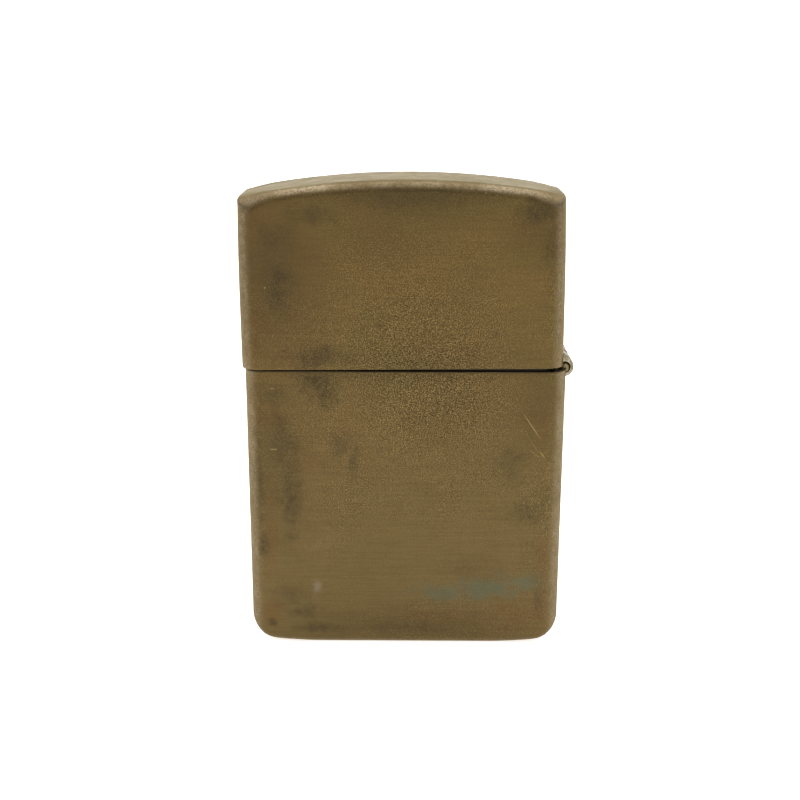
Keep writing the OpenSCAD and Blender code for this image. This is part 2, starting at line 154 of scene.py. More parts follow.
def cut(piece, cutter):
    """Takes the cutter away from the piece, and removes the cutter."""
    change = piece.modifiers.new("cut", "BOOLEAN")
    change.operation = "DIFFERENCE"
    change.solver = "EXACT"
    change.object = cutter
    apply_modifiers(piece)
    bpy.data.objects.remove(cutter)


def arc(centre, radius, start, end, steps):
    """Points (x, z) of an arc, angles in degrees."""
    cx, cz = centre
    turns = [math.radians(start + (end - start) * i / steps) for i in range(steps + 1)]
    return [(cx + radius * math.cos(a), cz + radius * math.sin(a)) for a in turns]


def finely(corners, step):
    """Points along a line of (x, z) corners, no further apart than about a step."""
    path = [Vector((corners[0][0], 0, corners[0][1]))]
    for x, z in corners[1:]:
        goal = Vector((x, 0, z))
        start = path[-1]
        pieces = max(1, round((goal - start).length / step))
        path += [start.lerp(goal, (i + 1) / pieces) for i in range(pieces)]
    return path


def rounded_outline(low_a, high_a, low_b, high_b, r):
    """Rectangle with round corners as a list of points."""
    outline = []
    corners = (
        (high_a - r, high_b - r, 0),
        (low_a + r, high_b - r, 90),
        (low_a + r, low_b + r, 180),
        (high_a - r, low_b + r, 270),
    )
    for a, b, start in corners:
        outline += arc((a, b), r, start, start + 90, 5)
    return outline


def plate(name, outlines, low, high, bevel=0.05, axis="Y"):
    """Extrudes closed outlines of (x, z) points from low to high along Y, with rounded edges.

    The first outline is the outside and the rest are holes. With axis X the points are (y, z).
    """
    curve = bpy.data.curves.new(name, "CURVE")
    curve.dimensions = "2D"
    curve.fill_mode = "BOTH"
    curve.extrude = (high - low) / 2 - bevel
    curve.bevel_depth = bevel
    curve.bevel_resolution = 1
    curve.offset = -bevel
    for outline in outlines:
        spline = curve.splines.new("POLY")
        spline.points.add(len(outline) - 1)
        for point, (x, z) in zip(spline.points, outline):
            point.co = (x, z, 0, 1)
        spline.use_cyclic_u = True
    shape = bpy.data.objects.new(name, curve)
    bpy.context.scene.collection.objects.link(shape)
    bpy.context.view_layer.update()
    mesh = bpy.data.meshes.new_from_object(shape)
    bpy.data.objects.remove(shape)
    # The curve lies in its own XY plane: stand it up, then move it to the middle of the range.
    middle = (low + high) / 2
    if axis == "Y":
        stand = Matrix.Translation((0, middle, 0)) @ Matrix.Rotation(math.pi / 2, 4, "X")
    else:
        stand = Matrix(((0, 0, 1, middle), (1, 0, 0, 0), (0, 1, 0, 0), (0, 0, 0, 1)))
    mesh.transform(Matrix.Scale(MM, 4) @ stand)
    bm = bmesh.new()
    bm.from_mesh(mesh)
    bmesh.ops.remove_doubles(bm, verts=bm.verts, dist=1e-7)
    bmesh.ops.recalc_face_normals(bm, faces=bm.faces)
    bm.to_mesh(mesh)
    bm.free()
    return make_object(name, mesh)


def join(name, pieces):
    """One object from several."""
    bm = bmesh.new()
    for piece in pieces:
        bm.from_mesh(piece.data)
        bpy.data.objects.remove(piece)
    mesh = bpy.data.meshes.new(name)
    bm.to_mesh(mesh)
    bm.free()
    return make_object(name, mesh)


def axle_ring(centre, y, radii):
    """Ring about an axis along Y through a centre, with a radius for each of its points."""
    ring = []
    for i, radius in enumerate(radii):
        a = 2 * math.pi * i / len(radii)
        ring.append(centre + Vector((radius * math.cos(a), y, radius * math.sin(a))))
    return ring


def tube(name, path, radius, sides, shape=None):
    """Sweeps a round section along a path of points; shape(angle, run) changes its radius."""
    rings = []
    run = 0.0
    side = Vector((0, 1, 0))
    for i, point in enumerate(path):
        before = path[max(i - 1, 0)]
        after = path[min(i + 1, len(path) - 1)]
        along = (after - before).normalized()
        side = (side - along * side.dot(along)).normalized()
        up = along.cross(side)
        if i:
            run += (point - path[i - 1]).length
        ring = []
        for k in range(sides):
            a = 2 * math.pi * k / sides
            r = radius if shape is None else shape(a, run)
            ring.append(point + side * (r * math.cos(a)) + up * (r * math.sin(a)))
        rings.append(ring)
    points, faces = skin_between(rings, closed_ends=True)
    return mesh_object(name, points, faces)


# ---------- materials ----------


def tone(red, green, blue):
    """Linear colour from display values of 0 to 255."""

    def linear(value):
        value /= 255
        return value / 12.92 if value <= 0.04045 else ((value + 0.055) / 1.055) ** 2.4

    return (linear(red), linear(green), linear(blue), 1.0)


class Shader:
    """A material's node tree. Positions are in millimetres of the model at rest."""

    def __init__(self, name, metallic=0.0):
        self.material = bpy.data.materials.new(name)
        self.material.use_nodes = True
        self.tree = self.material.node_tree
        self.surface = self.tree.nodes["Principled BSDF"]
        self.surface.inputs["Metallic"].default_value = metallic
        coordinates = self.add("ShaderNodeTexCoord")
        self.facing = coordinates.outputs["Normal"]
        self.place = self.stretch(coordinates.outputs["Object"], (1000, 1000, 1000))
        parts = self.add("ShaderNodeSeparateXYZ", {0: self.place})
        self.x, self.y, self.z = parts.outputs

    def put(self, socket, value):
        if isinstance(value, bpy.types.NodeSocket):
            self.tree.links.new(value, socket)
        else:
            socket.default_value = value

    def add(self, kind, inputs=None, **settings):
        node = self.tree.nodes.new(kind)
        for name, value in settings.items():
            setattr(node, name, value)
        for key, value in (inputs or {}).items():
            self.put(node.inputs[key], value)
        return node

    def math(self, operation, a, b=0.0, clamp=False):
        node = self.add("ShaderNodeMath", {0: a, 1: b}, operation=operation, use_clamp=clamp)
        return node.outputs[0]

    def stretch(self, vector, factors):
        return self.add("ShaderNodeVectorMath", {0: vector, 1: factors}, operation="MULTIPLY").outputs[0]

    def noise(self, scale, detail=2.0, roughness=0.5, distortion=0.0, vector=None):
        """Noise of about 0.5 on average; scale is in features per millimetre."""
        inputs = {
            "Vector": vector or self.place,
            "Scale": scale,
            "Detail": detail,
            "Roughness": roughness,
            "Distortion": distortion,
        }
        return self.add("ShaderNodeTexNoise", inputs).outputs["Fac"]

    def ramp(self, value, low, high, out_low=0.0, out_high=1.0):
        """Smooth step of a value from low to high."""
        inputs = {"Value": value, 1: low, 2: high, 3: out_low, 4: out_high}
        node = self.add("ShaderNodeMapRange", inputs, interpolation_type="SMOOTHSTEP")
        return node.outputs["Result"]

    def mix(self, amount, a, b, blend="MIX"):
        node = self.add("ShaderNodeMix", {0: amount, 6: a, 7: b}, data_type="RGBA", blend_type=blend)
        return node.outputs[2]

    def edges(self, start=0.02, full=0.2):
        """1 on rounded edges, where the surface faces between two axes, and 0 on flat faces."""
        parts = self.add("ShaderNodeSeparateXYZ", {0: self.facing}).outputs
        sizes = [self.math("ABSOLUTE", part) for part in parts]
        largest = self.math("MAXIMUM", self.math("MAXIMUM", sizes[0], sizes[1]), sizes[2])
        return self.ramp(self.math("SUBTRACT", 1.0, largest), start, full)

    def offset(self, x, z):
        """Where the surface lies from a point (x, z) on the middle plane."""
        node = self.add("ShaderNodeVectorMath", {0: self.place, 1: (x, 0, z)}, operation="SUBTRACT")
        return node.outputs[0]

    def length(self, vector):
        return self.add("ShaderNodeVectorMath", {0: vector}, operation="LENGTH").outputs["Value"]

    def spot(self, x, z, half_x, half_z, soft, ragged=None):
        """Soft oval on the front panel, 1 at its centre."""
        reach = self.length(self.stretch(self.offset(x, z), (1 / half_x, 0, 1 / half_z)))
        if ragged is not None:
            reach = self.math("ADD", reach, ragged)
        return self.ramp(reach, 1.0, 1.0 - soft)

    def scratch(self, x, z, length, angle, width):
        """Fine straight line on the front panel."""
        a = math.radians(angle)
        offset = self.offset(x, z)
        amounts = []
        directions = (
            ((math.cos(a), 0, math.sin(a)), length / 2),
            ((-math.sin(a), 0, math.cos(a)), width / 2),
        )
        for direction, reach in directions:
            inputs = {0: offset, 1: direction}
            run = self.add("ShaderNodeVectorMath", inputs, operation="DOT_PRODUCT")
            far = self.math("ABSOLUTE", run.outputs["Value"])
            amounts.append(self.ramp(far, reach, reach * 0.3))
        return self.product(*amounts)

    def product(self, first, *others):
        for other in others:
            first = self.math("MULTIPLY", first, other)
        return first

    def largest(self, values):
        total = values[0]
        for value in values[1:]:
            total = self.math("MAXIMUM", total, value)
        return total

    def spots(self, table, ragged=None):
        """The strongest of a table's spots on the front panel, each with its own strength."""
        amounts = []
        for x, z, half_x, half_z, strength in table:
            amounts.append(self.product(self.spot(x, z, half_x, half_z, 1.0, ragged), strength))
        return self.largest(amounts)

    def near_seam(self, outer, inner, amount):
        """The amount within an inner distance of the seam's height, fading to 0 at an outer one."""
        distance = self.math("ABSOLUTE", self.math("SUBTRACT", self.z, SEAM))
        return self.ramp(distance, outer, inner, 0.0, amount)

    def bump(self, layers):
        """Relief from (height, depth in millimetres) layers."""
        normal = None
        for height, depth in layers:
            inputs = {"Height": height, "Distance": depth * MM, "Strength": 1.0}
            if normal is not None:
                inputs["Normal"] = normal
            normal = self.add("ShaderNodeBump", inputs).outputs["Normal"]
        self.put(self.surface.inputs["Normal"], normal)

    def finish(self, colour, roughness):
        self.put(self.surface.inputs["Base Color"], colour)
        self.put(self.surface.inputs["Roughness"], roughness)
        return self.material


# Tarnish on the front panel: centre x and z, half width and half height, strength.
TARNISH = (
    (-14.6, 45.0, 2.3, 4.4, 0.62),
    (-15.0, 50.6, 3.0, 3.4, 0.30),
    (-10.6, 53.2, 4.2, 1.9, 0.45),
    (-0.5, 55.3, 12.0, 1.6, 0.35),
    (15.0, 53.7, 3.4, 2.4, 0.62),
    (16.9, 49.6, 1.6, 5.0, 0.36),
    (10.6, 39.6, 0.7, 0.8, 0.55),
    (-10.9, 36.6, 5.2, 2.6, 0.66),
    (-10.2, 33.4, 4.4, 3.2, 0.72),
    (-15.6, 32.4, 4.2, 2.0, 0.35),
    (-14.7, 26.6, 2.2, 4.6, 0.42),
    (-13.8, 20.0, 2.0, 8.5, 0.50),
    (-6.3, 23.6, 1.2, 3.2, 0.50),
    (-7.8, 25.8, 2.6, 2.6, 0.42),
    (12.8, 23.8, 2.8, 3.6, 0.36),
    (14.8, 17.6, 3.6, 2.6, 0.32),
    (15.1, 17.0, 0.9, 0.8, 0.55),
    (-17.6, 21.0, 0.9, 9.0, 0.45),
    (-17.3, 13.2, 1.1, 2.4, 0.62),
    (-14.0, 6.5, 3.4, 2.6, 0.30),
    (-12.8, 4.4, 3.2, 1.4, 0.42),
    (-16.3, 2.9, 0.9, 0.8, 0.55),
    (-10.2, 2.3, 5.2, 1.1, 0.50),
    (1.0, 2.1, 12.0, 1.2, 0.25),
    (16.4, 6.4, 1.2, 3.4, 0.34),
    (8.0, 10.6, 5.0, 2.4, 0.20),
)

# Broad dull areas of the front panel, in the same form.
DULL = (
    (-15.5, 46.0, 10.0, 16.0, 0.62),
    (-16.0, 24.0, 7.0, 18.0, 0.36),
    (0.0, 55.4, 19.0, 5.5, 0.50),
    (-3.0, 51.0, 10.0, 5.0, 0.30),
    (15.5, 52.0, 6.0, 7.0, 0.34),
    (2.0, 35.6, 22.0, 4.2, 0.42),
    (15.5, 31.0, 5.5, 9.0, 0.42),
    (5.0, 31.0, 9.0, 6.0, 0.26),
    (0.0, 3.0, 19.0, 3.0, 0.26),
)

# Warm, coppery places on the front panel, in the same form.
WARM = (
    (-9.5, 48.6, 4.6, 3.6, 0.34),
    (-17.2, 53.6, 1.8, 3.2, 0.50),
    (12.0, 51.5, 5.2, 3.2, 0.42),
    (-17.0, 39.0, 1.9, 4.4, 0.55),
    (-15.8, 29.4, 4.0, 3.0, 0.50),
    (-11.6, 23.6, 3.0, 3.4, 0.36),
    (-16.4, 16.0, 1.6, 9.0, 0.50),
    (16.4, 28.0, 1.6, 5.0, 0.30),
    (14.3, 4.0, 5.2, 2.4, 0.62),
    (4.0, 3.6, 8.0, 1.4, 0.30),
    (-16.2, 4.4, 2.4, 2.6, 0.62),
    (16.6, 12.0, 1.6, 5.0, 0.45),
    (4.0, 38.0, 7.0, 3.0, 0.30),
)

# A grey-green bloom low on the right and a pale smudge, in the same form.
BLOOM = (
    (5.0, 6.9, 5.6, 1.7, 0.60),
    (9.8, 7.6, 6.4, 2.0, 0.75),
    (13.8, 8.4, 4.8, 1.7, 0.64),
)
SMUDGE = ((-10.8, 7.8, 0.8, 1.4, 0.36),)

# Fine scratches on the front panel: x, z, length, angle in degrees, width.
SCRATCHES = (
    (15.0, 28.4, 4.6, -56, 0.15),
    (16.4, 24.8, 1.2, -58, 0.16),
    (15.2, 26.2, 4.4, -57, 0.05),
    (15.5, 24.9, 2.2, -40, 0.06),
    (-15.7, 25.4, 1.1, 0, 0.17),
    (-15.7, 32.9, 0.5, 0, 0.17),
    (9.0, 55.8, 0.25, 90, 0.25),
    (4.6, 34.2, 0.5, 70, 0.20),
    (-16.2, 44.9, 0.3, 20, 0.20),
    (9.8, 43.6, 1.8, 8, 0.05),
    (3.4, 30.4, 1.6, -65, 0.05),
)


def brass_clouds(s, front, ragged, mottle):
    """Olive and warm clouds, greyer and a little paler towards the base as painted light from the floor,
    with broad dull areas.
    """
    dull_tone = tone(74, 62, 38)
    clouds = s.ramp(s.noise(0.075, detail=3, roughness=0.6), 0.36, 0.62)
    colour = s.mix(clouds, tone(110, 92, 50), tone(117, 92, 52))
    # Painted light from the floor: greyer and a little paler towards the base.
    colour = s.mix(s.ramp(s.z, 46.0, 12.0, 0.0, 0.6), colour, tone(113, 95, 62))
    colour = s.mix(s.product(mottle, 0.26), colour, tone(134, 112, 66))
    colour = s.mix(s.product(s.spots(WARM, ragged), front), colour, tone(116, 86, 50))
    colour = s.mix(s.product(s.spots(DULL), front), colour, dull_tone)
    elsewhere = s.math("SUBTRACT", 1.0, front)
    shade = s.ramp(s.noise(0.09, detail=4, roughness=0.6), 0.40, 0.66, 0.12, 0.62)
    return s.mix(s.product(shade, elsewhere), colour, dull_tone)


def brass_grain(s):
    """Leathery grain and its strength, which is greatest round the middle of the panel."""
    grain = s.noise(7.4, detail=1.5, roughness=0.6, distortion=0.2)
    patchy = s.ramp(s.noise(0.10, detail=3), 0.38, 0.62, 0.26, 0.60)
    for place, bare, full in ((s.z, 9.0, 21.0), (s.z, 54.0, 46.0), (s.x, -16.0, -7.0)):
        patchy = s.product(patchy, s.ramp(place, bare, full, 0.5, 1.0))
    centre = s.math("MAXIMUM", s.spot(2.0, 37.0, 19.0, 20.0, 0.9), s.spot(3.0, 33.0, 18.0, 18.0, 0.9))
    return grain, s.math("MAXIMUM", patchy, centre)


def brass_tarnish(s, front, ragged):
    """Dark tarnish: the placed marks, and looser ones all over, both speckled."""
    placed = s.product(s.spots(TARNISH, ragged), front)
    loose = s.ramp(s.noise(0.16, detail=6, roughness=0.7), 0.54, 0.78, 0.0, 0.9)
    loose = s.product(loose, s.ramp(front, 0.0, 1.0, 0.75, 0.3))
    speckle = s.ramp(s.noise(2.6, detail=2, roughness=0.6), 0.36, 0.62, 0.6, 1.15)
    return s.math("MULTIPLY", s.math("MAXIMUM", placed, loose), speckle, clamp=True)


def brass_wear_and_painted_light(s, colour):
    """Worn edges, painted highlights on the upward roundings, on the top's ridges and on its round ends,
    painted shade on the top face and along the seam, and a painted reflection of the floor on the base's
    edge.
    """
    # Handling rubs the edges, and the upward-facing surfaces are lighter as a painted highlight from
    # above.
    wear_and_highlight_patches = s.ramp(s.noise(0.8, detail=4, roughness=0.7), 0.3, 0.7, 0.35, 1.0)
    aside, _, rise = s.add("ShaderNodeSeparateXYZ", {0: s.facing}).outputs
    wear_and_highlight = s.product(s.math("MAXIMUM", s.edges(0.01, 0.22), s.ramp(rise, 0.12, 0.70)), wear_and_highlight_patches)
    fine = s.ramp(s.noise(4.5, detail=3, roughness=0.7), 0.36, 0.66)
    colour = s.mix(wear_and_highlight, colour, s.mix(fine, tone(120, 105, 78), tone(154, 136, 108)))
    # Painted shade: the flat top face is darkened against the overhead light.
    top = s.ramp(rise, 0.72, 1.0, 0.0, 0.5)
    colour = s.mix(top, colour, tone(112, 96, 62))

    # Painted highlight: the top's long edges shine most at a place towards each end.
    shine_x = 11.8
    away = s.math("ABSOLUTE", s.math("SUBTRACT", s.math("ABSOLUTE", s.x), shine_x))
    ridge = s.product(s.ramp(rise, 0.35, 0.70), s.ramp(rise, 1.0, 0.86), s.ramp(away, 5.0, 1.5))
    ridge_highlight = s.product(ridge, s.ramp(fine, 0.0, 1.0, 0.1, 0.7))
    colour = s.mix(ridge_highlight, colour, tone(182, 166, 140))

    # Painted highlight: the round ends of the top are paler, but not the top itself.
    corner = s.product(s.ramp(s.math("ABSOLUTE", aside), 0.16, 0.5), s.ramp(rise, 0.02, 0.2))
    corner = s.product(corner, s.ramp(rise, 0.85, 0.4, 0.0, 0.5))
    colour = s.mix(corner, colour, s.mix(fine, tone(130, 116, 92), tone(166, 150, 122)))

    # Painted reflection of the floor on the base's lower edge, and painted shade along the seam.
    foot = s.ramp(rise, -0.55, -0.9, 0.0, 0.6)
    colour = s.mix(foot, colour, tone(196, 162, 104))
    # Painted shade along the seam where the lid meets the body.
    colour = s.mix(s.near_seam(0.22, 0.05, 0.6), colour, tone(66, 54, 36))
    return colour, wear_and_highlight


def aged_brass():
    """Unlacquered brass: clouds of colour, pitted grain, brushing, dark tarnish, worn edges, and painted
    highlights, shade and floor reflection.
    """
    s = Shader("aged_brass", metallic=0.85)
    s.surface.inputs["Specular Tint"].default_value = tone(232, 226, 204)
    front = s.ramp(s.y, -3.0, -5.5)
    ragged = s.ramp(s.noise(0.5, detail=5, roughness=0.75), 0.2, 0.8, -0.5, 0.5)
    mottle = s.ramp(s.noise(0.33, detail=5, roughness=0.65), 0.3, 0.72)
    colour = brass_clouds(s, front, ragged, mottle)

    tarnish = brass_tarnish(s, front, ragged)
    colour = s.mix(tarnish, colour, tone(66, 57, 41))
    grain, strength = brass_grain(s)
    pits = s.product(s.ramp(grain, 0.52, 0.38), strength)
    glints = s.product(s.ramp(grain, 0.53, 0.66), strength)
    colour = s.mix(s.product(pits, 0.95), colour, tone(52, 39, 20))
    colour = s.mix(s.product(glints, 0.75), colour, tone(176, 150, 98))

    # Brushing runs along the width.
    brushed = s.noise(1.0, detail=4, roughness=0.6, vector=s.stretch(s.place, (0.16, 2.4, 5.5)))
    colour = s.mix(s.ramp(brushed, 0.35, 0.75, 0.0, 0.32), colour, tone(84, 68, 42))

    colour = s.mix(s.product(s.spots(BLOOM, ragged), front), colour, tone(96, 100, 78))
    colour = s.mix(s.product(s.spots(SMUDGE, ragged), front), colour, tone(150, 142, 124))

    # Scratches show clean metal.
    scratches = s.product(s.largest([s.scratch(*line) for line in SCRATCHES]), front)
    colour = s.mix(s.product(scratches, 0.55), colour, tone(186, 158, 100))

    # Age darkens the whole.
    colour, wear_and_highlight = brass_wear_and_painted_light(s, colour)
    colour = s.mix(1.0, colour, tone(204, 204, 204), "MULTIPLY")
    roughness = s.ramp(mottle, 0.0, 1.0, 0.42, 0.52)
    roughness = s.math("ADD", roughness, s.product(tarnish, 0.12))
    roughness = s.math("SUBTRACT", roughness, s.product(wear_and_highlight, 0.02), clamp=True)
    s.bump(
        (
            (s.noise(0.5, detail=2), 0.010),
            (brushed, 0.005),
            (s.product(grain, strength), 0.024),
            (scratches, -0.012),
        )
    )
    return s.finish(colour, roughness)


def brushed_metal(
    name, light, dark, roughness, stretch, soot=0.0, seam_dark=0.0, metallic=1.0
):
    """Worn brushed metal. Soot darkens the windscreen's top; seam_dark darkens a line behind the seam.
    """
    s = Shader(name, metallic=metallic)
    lines = s.noise(1.0, detail=4, roughness=0.62, vector=s.stretch(s.place, stretch))
    smears = s.ramp(s.noise(0.35, detail=4, roughness=0.65), 0.35, 0.72)
    colour = s.mix(s.ramp(lines, 0.3, 0.72), dark, light)
    colour = s.mix(s.product(smears, 0.35), colour, dark)
    rough = s.ramp(lines, 0.25, 0.75, roughness - 0.06, roughness + 0.07)
    rough = s.math("ADD", rough, s.product(smears, 0.07))
    if soot:
        height = s.math("ADD", s.z, s.product(s.noise(0.5, detail=3), 5.0))
        burnt = s.ramp(height, 46.0, 57.0, 0.0, soot)
        colour = s.mix(burnt, colour, tone(70, 58, 44))
        rough = s.math("ADD", rough, s.product(burnt, 0.2))
    if seam_dark:
        # Darker along a line at the seam's height.
        line = s.near_seam(0.7, 0.35, seam_dark)
        colour = s.mix(line, colour, tone(48, 42, 32))
        rough = s.math("ADD", rough, s.product(line, 0.2))
    s.bump(((lines, 0.004), (s.noise(3.5, detail=2), 0.002)))
    return s.finish(colour, rough)


def hinge_metal():
    """Dull worn metal with dirt in it."""
    s = Shader("hinge_metal", metallic=0.85)
    dirt = s.ramp(s.noise(2.2, detail=5, roughness=0.7), 0.34, 0.70)
    colour = s.mix(dirt, tone(154, 146, 124), tone(108, 100, 78))
    colour = s.mix(s.product(s.edges(), 0.4), colour, tone(170, 162, 142))
    rough = s.ramp(dirt, 0.0, 1.0, 0.46, 0.60)
    s.bump(((s.noise(5.0, detail=3), 0.002),))
    return s.finish(colour, rough)


def hard_steel():
    """Dark hardened steel of the striker wheel, brighter on its teeth."""
    s = Shader("hard_steel", metallic=0.9)
    grit = s.noise(3.0, detail=4, roughness=0.7)
    colour = s.mix(s.ramp(grit, 0.35, 0.7), tone(84, 82, 80), tone(118, 114, 108))
    out = s.length(s.stretch(s.offset(WHEEL.x, WHEEL.z), (1, 0, 1)))
    colour = s.mix(s.ramp(out, 2.95, 3.2, 0.0, 0.8), colour, tone(186, 182, 174))
    s.bump(((grit, 0.010),))
    return s.finish(colour, s.ramp(grit, 0.3, 0.7, 0.36, 0.52))


def flint_stone():
    s = Shader("flint_stone", metallic=0.25)
    grit = s.noise(4.0, detail=5, roughness=0.75)
    colour = s.mix(s.ramp(grit, 0.35, 0.7), tone(52, 49, 46), tone(92, 86, 80))
    s.bump(((grit, 0.03),))
    return s.finish(colour, s.ramp(grit, 0.3, 0.7, 0.6, 0.8))


def wick_cord():
    """Braided cotton, charred at the trimmed end."""
    s = Shader("wick_cord")
    fibre = s.noise(5.0, detail=4, roughness=0.7, distortion=0.6)
    colour = s.mix(s.ramp(fibre, 0.3, 0.7), tone(168, 156, 132), tone(222, 212, 190))
    height = s.math("ADD", s.z, s.product(s.noise(1.6, detail=3), 1.6))
    colour = s.mix(s.ramp(height, 43.6, 45.2), colour, tone(38, 34, 31))
    s.surface.inputs["Sheen Weight"].default_value = 0.3
    s.surface.inputs["Sheen Roughness"].default_value = 0.5
    s.bump(((fibre, 0.05),))
    return s.finish(colour, s.ramp(fibre, 0.3, 0.7, 0.82, 0.94))


def fibre_wad(name, light, dark, scale):
    """Loose or felted fibre."""
    s = Shader(name)
    fibres = s.noise(scale, detail=6, roughness=0.75, distortion=1.4)
    lumps = s.noise(scale * 0.22, detail=3)
    colour = s.mix(s.ramp(fibres, 0.3, 0.72), dark, light)
    colour = s.mix(s.ramp(lumps, 0.4, 0.75, 0.0, 0.35), colour, dark)
    s.surface.inputs["Sheen Weight"].default_value = 0.4
    s.surface.inputs["Sheen Roughness"].default_value = 0.6
    s.bump(((fibres, 0.09), (lumps, 0.12)))
    return s.finish(colour, s.ramp(fibres, 0.3, 0.7, 0.86, 0.97))


BRASS = aged_brass()
HINGE_METAL = hinge_metal()
PIN_METAL = brushed_metal(
    "pin_metal", tone(150, 136, 98), tone(80, 70, 46), 0.48, stretch=(3, 3, 3), metallic=0.85
)
INSERT_STEEL = brushed_metal(
    "insert_steel", tone(186, 185, 180), tone(134, 132, 126), 0.32, stretch=(0.7, 7.0, 7.0), seam_dark=0.9
)
SCREEN_STEEL = brushed_metal(
    "screen_steel", tone(204, 202, 196), tone(158, 155, 148), 0.32, stretch=(6.0, 6.0, 1.2), soot=0.6
)
RIVET_STEEL = brushed_metal("rivet_steel", tone(214, 212, 206), tone(160, 157, 150), 0.28, (3, 3, 3))
CAM_STEEL = brushed_metal("cam_steel", tone(184, 182, 176), tone(128, 125, 118), 0.36, (3, 2, 3))
SPRING_STEEL = brushed_metal("spring_steel", tone(176, 174, 168), tone(118, 115, 108), 0.33, (4, 2, 4))
CLEAN_BRASS = brushed_metal("clean_brass", tone(202, 170, 104), tone(150, 120, 68), 0.34, (3, 3, 8))
WHEEL_STEEL = hard_steel()
FLINT = flint_stone()
WICK = wick_cord()
COTTON = fibre_wad("cotton", tone(236, 231, 220), tone(196, 187, 168), 2.2)
FELT = fibre_wad("felt", tone(140, 131, 116), tone(92, 85, 74), 3.6)


def dress(piece, material):
    piece.data.materials.clear()
    piece.data.materials.append(material)


def settle(piece, body, material, slot, *nodes):
    """Gives a piece its material, and lets it ride on a body in place of CAD nodes. The slot is not
    used.
    """
    dress(piece, material)
    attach(piece, body)
    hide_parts(*nodes)


# ---------- brass shells ----------

CORNER_STEPS = 10
WIDE_STEPS = 56
DEEP_STEPS = 12
END_STEPS = 12          # rings on the outside's closed end, and on its rounding
WALL_STEPS = 26
INNER_WALL_STEPS = 12
INNER_END_STEPS = 8
RIM_STEPS = 4
RIM_R = 0.07
SOFT_PLACE = 1.5        # where the softened corner is deepest, from the side, and its reach
SOFT_REACH = 2.8
LEAST_R = 0.25          # least radii inside the roundings
LEAST_TOP_R = 0.3


def ring_points(half_w, half_d, radius):
    """Round rectangle as (x, y, share) points; share is 0 on the long sides and 1 on the short ones."""
    radius = min(radius, half_d)
    points = []
    corners = ((1, 1, 0), (-1, 1, 90), (-1, -1, 180), (1, -1, 270))
    for sx, sy, start in corners:
        cx, cy = sx * (half_w - radius), sy * (half_d - radius)
        for i in range(CORNER_STEPS + 1):
            turn = math.radians(start + 90 * i / CORNER_STEPS)
            share = math.cos(turn) ** 2
            points.append((cx + radius * math.cos(turn), cy + radius * math.sin(turn), share))
        if start in (0, 180):
            steps, ax, ay, value = WIDE_STEPS, -sx * 2 * (half_w - radius), 0.0, 0.0
            bx, by = sx * (half_w - radius), sy * half_d
        else:
            steps, ax, ay, value = DEEP_STEPS, 0.0, -sy * 2 * (half_d - radius), 1.0
            bx, by = sx * half_w, sy * (half_d - radius)
        for i in range(1, steps):
            points.append((bx + ax * i / steps, by + ay * i / steps, value))
    return points


class End:
    """The rounded closed end of a shell, drawn in by an inset.

    up is 1 for the lid's arched top and -1 for the body's base. level is the middle's height, flat
    the half width of its flat part, arc_r the arc beyond that, corner_r the round corners seen from
    the front, edge_r the round long edges and top_r the corners seen from above. soft is how much
    further down the rounding reaches at the upright edges.
    """

    def __init__(self, up, level, flat, arc_r, corner_r, edge_r, top_r, soft, inset):
        self.up = up
        self.level = level - up * inset
        self.flat = flat
        self.arc_r = arc_r - inset
        self.corner_r = max(corner_r - inset, LEAST_R)
        self.edge_r = max(edge_r - inset, LEAST_R)
        self.half_w = HALF_W - inset
        self.half_d = HALF_D - inset
        self.wall_r = EDGE_R - inset
        self.top_r = max(top_r - inset, LEAST_TOP_R)
        self.soft = soft
        self.corner_x = self.half_w - self.corner_r
        reach = self.arc_r - self.corner_r
        run = self.corner_x - flat
        self.corner_drop = self.arc_r - math.sqrt(reach * reach - run * run)
        self.spread = math.asin(run / reach)

    def sag(self, x):
        run = max(abs(x) - self.flat, 0.0)
        return self.arc_r - math.sqrt(self.arc_r * self.arc_r - run * run)

    def fillet(self, share):
        """Ring round the edge: share 0 where the walls begin to turn, 1 where the top is reached."""
        phi = math.pi / 2 - share * (math.pi / 2 - self.spread)
        psi = math.pi / 2 * (1 - share)
        half_w = self.corner_x + self.corner_r * math.sin(phi)
        half_d = self.half_d - self.edge_r + self.edge_r * math.sin(psi)
        end_drop = self.corner_drop - self.corner_r * math.cos(phi)
        edge_drop = self.edge_r * (1 - math.cos(psi))
        radius = self.wall_r + (self.top_r - self.wall_r) * share
        ring = []
        for x, y, side in ring_points(half_w, half_d, radius):
            drop = (1 - side) * (self.sag(x) + edge_drop) + side * end_drop
            near = max(0.0, 1 - abs(self.half_w - SOFT_PLACE - abs(x)) / SOFT_REACH)
            drop += self.soft * (1 - share) * (1 - side) * near * near * (3 - 2 * near)
            ring.append(Vector((x, y, self.level - self.up * drop)))
        return ring

    def cap(self, share):
        """Ring on the top: share 0 at the fillet, 1 at the line where the rings close."""
        half_w = self.corner_x + self.corner_r * math.sin(self.spread)
        half_d = self.half_d - self.edge_r
        inset = half_d * share
        ring = []
        for x, y, _ in ring_points(half_w - inset, half_d - inset, self.top_r * (1 - share)):
            ring.append(Vector((x, y, self.level - self.up * self.sag(x))))
        return ring

    def wall(self, rim, share):
        """Ring on the walls: share 0 at the rim, 1 where the fillet begins."""
        return [p + Vector((0, 0, (rim - p.z) * (1 - share))) for p in self.fillet(0.0)]


def rim_ring(z, inset):
    return [Vector((x, y, z)) for x, y, _ in ring_points(HALF_W - inset, HALF_D - inset, EDGE_R - inset)]


